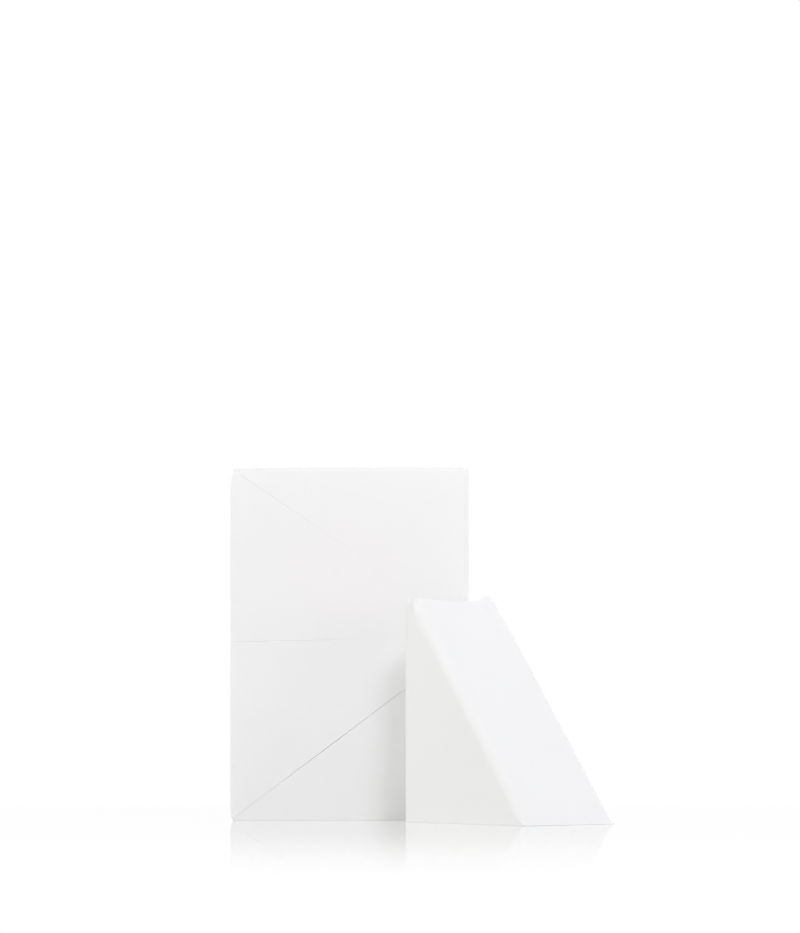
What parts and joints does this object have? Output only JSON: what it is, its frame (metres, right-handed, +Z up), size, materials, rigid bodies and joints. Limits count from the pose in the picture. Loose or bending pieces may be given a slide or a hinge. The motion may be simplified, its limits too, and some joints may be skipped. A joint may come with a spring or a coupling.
{
  "type": "foam wedge block",
  "caption": "Upright block of white cosmetic foam cut corner to corner into stacked wedges that lift off, with a loose wedge standing on its short side in front of the block's edge.",
  "frame": {"origin": "centre of the face that the block stands on", "axes": "+X to the right along the block's front, +Y from the front to the back, +Z up"},
  "size_m": [0.0856, 0.0703, 0.08],
  "materials": {
    "foam": "matt white foam with very fine open cells, cut with a blade"
  },
  "bodies": {
    "lower_right": {"lower_right_wedge": "foam"},
    "lower_left": {"lower_left_wedge": "foam"},
    "upper_left": {"upper_left_wedge": "foam"},
    "upper_right": {"upper_right_wedge": "foam"},
    "loose": {"loose_wedge": "foam"}
  },
  "joints": [
    {"name": "lower_left_lift", "type": "slide", "parent": "lower_right", "child": "lower_left", "axis": [0, 0, 1], "range_m": [0, 0.045]},
    {"name": "upper_left_lift", "type": "slide", "parent": "lower_left", "child": "upper_left", "axis": [0, 0, 1], "range_m": [0, 0.045]},
    {"name": "upper_right_lift", "type": "slide", "parent": "upper_left", "child": "upper_right", "axis": [0, 0, 1], "range_m": [0, 0.045]},
    {"name": "loose_wedge_lift", "type": "slide", "parent": "lower_right", "child": "loose", "axis": [0, 0, 1], "range_m": [0, 0.06]}
  ]
}
